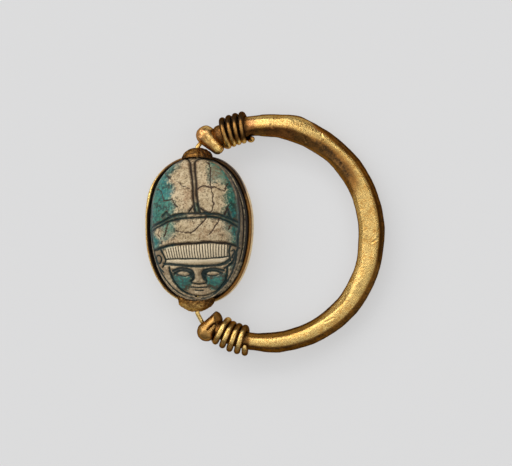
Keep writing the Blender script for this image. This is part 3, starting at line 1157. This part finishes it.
across = np.linspace(-1, 1, HOOP_STEPS + 1)
arcs = ((NECK_ARC - NECK_TIP_GAP) * across)[:, None]
phases = -np.linspace(0, 2 * math.pi, HOOP_SIDES, endpoint=False)[None, :]
radii = hammered(arcs, phases, hoop_section(arcs))
bar = hoop_point(arcs, radii, phases)
from_knobs = NECK_ARC - np.abs(arcs)
free = soft_step(from_knobs, *WINDINGS_END) * np.ones_like(radii)
dents = bumpy(bar.reshape(-1, 3), *HOOP_DENTS).reshape(radii.shape)
dents *= NECK_DENT_SHARE + (1 - NECK_DENT_SHARE) * free
bar = hoop_point(arcs, radii + dents, phases)
bar_points, bar_faces = ring_tube([from_hoop_plane(ring) for ring in bar])
shares = (arcs / NECK_ARC) * np.ones_like(radii)
front = np.sin(phases) * np.ones_like(radii)
outward = np.cos(phases) * np.ones_like(radii)
outer_from, inner_from = table_at(OUTER_FROM, shares), table_at(INNER_FROM, shares)
outer = soft_step(outward - outer_from, -STRIP_FADE, STRIP_FADE) * table_at(OUTER_DARK, shares)
inner = soft_step(inner_from - outward, -STRIP_FADE, STRIP_FADE) * table_at(INNER_DARK, shares)
stain = np.maximum(outer, inner) * soft_step(front, -0.5, 0.0)
stain = np.maximum(stain, BARE_TONE)
turned = phases % (2 * math.pi) * np.ones_like(radii)
for change, half, line in TONES:
    line = sorted(line)
    start, end = line[0][0], line[-1][0]
    reaches = within(shares, start - 0.05, start + 0.02, end - 0.02, end + 0.05)
    stain += change * reaches * swell(turned, table_at(line, shares), half)
stain = np.maximum(stain, 0.95 * soft_step(np.abs(outward), 0.84, 0.98))
stain = np.maximum(stain, 0.25 + 0.5 * (1 - free) * soft_step(from_knobs, 5.2, 4.6))
blush = within(shares, 0.55, 0.62, 0.7, 0.78) * soft_step(-outward, -0.1, 0.3)
blush += soft_step(shares, 0.76, 0.79) * soft_step(front, 0.3, 0.8) * 0.8
blush += within(shares, -0.1, 0.0, 0.5, 0.6) * soft_step(outward, 0.5, 0.8) * 1.1
blush *= soft_step(front, -0.2, 0.2)
hoop_gold = worn_gold("hoop_gold", 0.24, 0.1, 0.21, 0.6)
hoop = new_object("hoop_bar", bar_points, bar_faces, hoop_gold)
keep_values(hoop, {"stain": stain.ravel(), "red": blush.ravel()})
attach(hoop, "ring")
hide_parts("hoop")

# Wire: one unbroken length of drawn gold wire, wound round one neck, led through its knob, the
# caps, the scarab and the other knob, and wound round the other neck.
WINDING_CLEARANCE = 0.03
BARE_RADIUS = 0.25
MOUTH_GAP = 0.23
KNOB_RADIUS = 1.15
WIRE_SIDES = 14
TURN_STEPS = 44
END_TURN = 0.16
JOIN_STEPS = 13
TIP_SHARES = (0.55, 0.8, 0.93)
WIRE_BUMPS = (0.04, 1.1, 31)
TAIL_LARGE, TAIL_SMALL = (0.9754, 11.0498), (2.32, 9.61)
HEAD_LARGE, HEAD_SMALL = (1.0616, -11.9446), (2.5, -10.28)
CROWNS = {1: 9.45, -1: 9.6}
# Where the windings start, out along the bore and across from it
WOUND_ALONG, WOUND_ACROSS = (10.2, 11.2), (1.4, 2.4)


def winding_path(side, turn_sign, lead, pitch, turns, exit_phase, neck_radius, wire_radius, pull, lift):
    """The wire's middle line from the knob, down to the neck and round it to the wire's end."""
    all_turns = LEAD_TURNS + turns
    turned = np.linspace(0, all_turns, round(all_turns * TURN_STEPS) + 1)
    led = -wire_radius + (lead + wire_radius) * np.minimum(1, turned / LEAD_TURNS)
    wound = pitch * np.maximum(0, turned - LEAD_TURNS)
    last = soft_step(turned, all_turns - END_TURN, all_turns)
    wound_at = neck_radius + WINDING_CLEARANCE + wire_radius
    distance = KNOB_RADIUS + (wound_at - KNOB_RADIUS) * soft_step(turned, 0, LEAD_TURNS)
    phase = exit_phase + turn_sign * turned * 2 * math.pi
    along = led + wound + pull * last
    return hoop_point(side * (NECK_ARC - along), distance + lift * last, phase)


def thread_path(side, large):
    """The wire's middle line from a cap's crown to the middle of a knob."""
    mouth = np.array([0, side * (CROWNS[side] + MOUTH_GAP), 0])
    middle = np.array([large[0], large[1], -KNOB_RADIUS / 2])
    to_mouth = (mouth - middle) / np.linalg.norm(mouth - middle)
    start = (0, side * CROWNS[side], 0)
    return np.array([start, mouth, middle + to_mouth * KNOB_RADIUS, middle])


wire_parts = [
    (winding_path(*TAIL_WINDING)[::-1], TAIL_WINDING[7]),
    (rounded(thread_path(1, TAIL_LARGE)[::-1], 8), BARE_RADIUS),
    (rounded(thread_path(-1, HEAD_LARGE), 8), BARE_RADIUS),
    (winding_path(*HEAD_WINDING), HEAD_WINDING[7]),
]
wire_line = np.vstack([path for path, _ in wire_parts])
wire_radii = np.concatenate([np.full(len(path), radius) for path, radius in wire_parts])
padded = np.pad(wire_radii, JOIN_STEPS // 2, mode="edge")
wire_radii = np.convolve(padded, np.full(JOIN_STEPS, 1 / JOIN_STEPS), mode="valid")
wire_radii *= 1 + bumpy(wire_line, WIRE_BUMPS)
for i, share in enumerate(TIP_SHARES):
    wire_radii[i] *= share
    wire_radii[-1 - i] *= share
wire_gold = worn_gold("wire_gold", 0.25, speckle=0.35)

sweep = bpy.data.node_groups.new("wire_sweep", "GeometryNodeTree")
sweep.interface.new_socket("Geometry", in_out="INPUT", socket_type="NodeSocketGeometry")
sides_input = sweep.interface.new_socket("Sides", in_out="INPUT", socket_type="NodeSocketInt")
sweep.interface.new_socket("Geometry", in_out="OUTPUT", socket_type="NodeSocketGeometry")
inlet, outlet = sweep.nodes.new("NodeGroupInput"), sweep.nodes.new("NodeGroupOutput")


def sweep_step(kind, inputs, out=0):
    """A node of the sweep, by the values or links of its sockets. It gives one of its outputs."""
    made = sweep.nodes.new("GeometryNode" + kind)
    for key, source in inputs.items():
        if isinstance(source, bpy.types.NodeSocket):
            sweep.links.new(source, made.inputs[key])
        else:
            made.inputs[key].default_value = source
    return made.outputs[out]


middle_line = sweep_step("MeshToCurve", {"Mesh": inlet.outputs["Geometry"]})
thickness = sweep_step("InputNamedAttribute", {"Name": "thickness"}, "Attribute")
section = {"Resolution": inlet.outputs["Sides"], "Radius": 1.0}
swept = {
    "Curve": middle_line,
    "Profile Curve": sweep_step("CurvePrimitiveCircle", section, "Curve"),
    "Scale": thickness,
    "Fill Caps": True,
}
smooth = sweep_step("SetShadeSmooth", {"Geometry": sweep_step("CurveToMesh", swept)})
real = sweep_step("RealizeInstances", {"Geometry": smooth})
dressed = sweep_step("SetMaterial", {"Geometry": real, "Material": wire_gold})
sweep.links.new(dressed, outlet.inputs["Geometry"])

steps = [(i, i + 1) for i in range(len(wire_line) - 1)]
wire = new_object("swivel_wire_wound", from_hoop_plane(wire_line), [], edges=steps)
keep_values(wire, {"thickness": wire_radii * MM})
shape = wire.modifiers.new("sweep", "NODES")
shape.node_group = sweep
shape[sides_input.identifier] = WIRE_SIDES
settle(wire)


def facing_up(made):
    """How squarely each point faces the front of the hoop's plane, from -1 to 1."""
    normals = np.zeros(len(made.data.vertices) * 3, np.float32)
    made.data.vertices.foreach_get("normal", normals)
    normals = normals.reshape(-1, 3)
    return normals[:, 0] * math.sin(HOOP_TILT) + normals[:, 2] * math.cos(HOOP_TILT)


# Tarnish sits between the turns and on the sides that face the neck, and more of it at the tail.
x, y, _ = points_of(wire).T
wound = soft_step(np.abs(y), *WOUND_ALONG) * soft_step(x, *WOUND_ACROSS)
at_tail = y > 0
low, high = np.where(at_tail, 0.6, 0.35), np.where(at_tail, 1.0, 0.95)
sheltered = 1 - soft_step(facing_up(wire), low, high)
stain = 0.2 + wound * sheltered * np.where(at_tail, 1.0, 0.7)
stain += at_tail * wound * (0.24 + 0.55 * soft_step(y, 12.2, 13.6))
keep_values(wire, {"stain": stain, "red": 0.25 * wound})
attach(wire, "ring")
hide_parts("swivel_wire")

# Knobs: two gold beads, each a large and a small lobe hammered from folded sheet, pierced for the
# wire and socketed on the necks. The one at the head shows the seam of its fold.
KNOB_ROWS, KNOB_SIDES = 109, 110
KNOB_BUMPS = 0.05
LOBE_RADIUS = 0.8
TIP_RADIUS = 0.004
# Round ends of the small and of the large lobe: along and out, as shares of the lobe's radius
SMALL_ROUND = [(0.87, 0.5), (0.5, 0.87)]
LARGE_ROUND = [(0.38, 0.92), (0.71, 0.71), (0.92, 0.38)]
NECK_ROOM, NECK_CLEARANCE = 3.4, 0.01
SEAM_HALF, SEAM_TARNISH_HALF = 0.17, 0.14
DEEP_SEAM = 0.1
PRESSED_SHARE = 0.8
TAIL_SEAM = [(0.5, 11.5), (0.95, 10.9), (1.3, 10.3)]
HEAD_SEAM = [(1.3, -11.66), (1.72, -11.24), (2.12, -10.96), (2.38, -11.3), (2.5, -11.95)]
# Pressed flats: the direction that each faces, and how far it lies from the knob's core
TAIL_PRESSED, HEAD_PRESSED = ((0.5, 0.35, 0.79), 1.08), ((0.8, 0.35, 0.45), 1.05)
KNOBS = [
    # name, side, large and small lobe, waist, seed, seam, its depth, pressed flat, tarnish, copper
    ("tail_knob", 1, TAIL_LARGE, TAIL_SMALL, 1.0, 41, TAIL_SEAM, 0.05, TAIL_PRESSED, 0.02, 0.55),
    ("head_knob", -1, HEAD_LARGE, HEAD_SMALL, 0.93, 42, HEAD_SEAM, 0.24, HEAD_PRESSED, 0.46, 0.15),
]


def neck_room(side):
    """The neck's own form, a little larger, as a cutter."""
    arc = side * (NECK_ARC - np.linspace(0.0, NECK_ROOM, 24))[::-side]
    turn = -np.linspace(0, 2 * math.pi, 48, endpoint=False)
    rings = [hoop_point(a, hoop_section(a) + NECK_CLEARANCE, turn) for a in arc]
    return new_object("neck_room", *ring_tube([from_hoop_plane(ring) for ring in rings]))


def on_seam(seam, x, y, half):
    """1 on the seam of a knob, and 0 from half away from it."""
    return 1 - soft_step(distance_to(rounded(seam), x, y), 0.0, half)


knob_gold = worn_gold("knob_gold", 0.28, 0.05, speckle=0.4)
for name, side, large, small, waist, seed, seam, seam_depth, pressed, tarnish, copper in KNOBS:
    large, small = np.array(large), np.array(small)
    spacing = np.linalg.norm(large - small)
    axis = (large - small) / spacing
    profile = [
        (-spacing - LOBE_RADIUS, 0),
        *((-spacing - LOBE_RADIUS * along, LOBE_RADIUS * out) for along, out in SMALL_ROUND),
        (-spacing, LOBE_RADIUS),
        (-spacing / 2, waist),
        (-spacing / 5, (waist + KNOB_RADIUS) / 2 + 0.02),
        (0, KNOB_RADIUS),
        *((KNOB_RADIUS * along, KNOB_RADIUS * out) for along, out in LARGE_ROUND),
        (KNOB_RADIUS, 0),
    ]
    outline = rounded(profile, 10)
    lengths = np.concatenate([[0], np.cumsum(np.hypot(*np.diff(outline, axis=0).T))])
    rows = np.linspace(0, lengths[-1], KNOB_ROWS + 2)[1:-1]
    along = np.interp(rows, lengths, outline[:, 0])
    radius = np.maximum(np.interp(rows, lengths, outline[:, 1]), TIP_RADIUS)
    turn = np.linspace(0, 2 * math.pi, KNOB_SIDES, endpoint=False)
    sideways = np.array([axis[1], -axis[0]])
    body_x = large[0] + axis[0] * along[:, None] + sideways[0] * radius[:, None] * np.cos(turn)
    body_y = large[1] + axis[1] * along[:, None] + sideways[1] * radius[:, None] * np.cos(turn)
    body_z = radius[:, None] * np.sin(turn) * np.ones_like(body_x)
    shell = np.stack([body_x, body_y, body_z], -1).reshape(-1, 3)
    tips = [[*(large + axis * KNOB_RADIUS), 0], [*(small - axis * LOBE_RADIUS), 0]]
    points = np.vstack([tips[1:], shell, tips[:1]])
    core = np.array([*(large - axis * spacing * 0.35), 0])
    direction, reach = np.array(pressed[0]) / np.linalg.norm(pressed[0]), pressed[1]
    beyond = np.maximum((points - core) @ direction - reach, 0)
    points = points - PRESSED_SHARE * beyond[:, None] * direction
    outward = points - core
    outward /= np.linalg.norm(outward, axis=1)[:, None]
    bumps = KNOB_BUMPS * bumpy(points, (0.7, 0.8, seed), (0.3, 0.3, seed + 1))
    folded = on_seam(seam, *points[:, :2].T, SEAM_HALF) * (points[:, 2] > 0)
    points = points + outward * (bumps - seam_depth * folded)[:, None]
    # The outline runs from the small lobe to the large one, so the faces are turned over.
    faces = [[face[0], *face[:0:-1]] for face in shell_faces(KNOB_ROWS, KNOB_SIDES)]
    knob = new_object(name + "_bead", from_hoop_plane(points), faces, knob_gold)
    cut_away(knob, [neck_room(side)])
    facing = facing_up(knob)
    x, y, _ = points_of(knob).T
    stain = tarnish + 0.6 * (1 - soft_step(facing, 0.1, 0.75))
    if seam_depth > DEEP_SEAM:
        stain = np.maximum(stain, 1.1 * on_seam(seam, x, y, SEAM_TARNISH_HALF) * (facing > -0.2))
    keep_values(knob, {"stain": stain, "red": np.full(len(x), copper)})
    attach(knob, "ring")
    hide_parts(name)
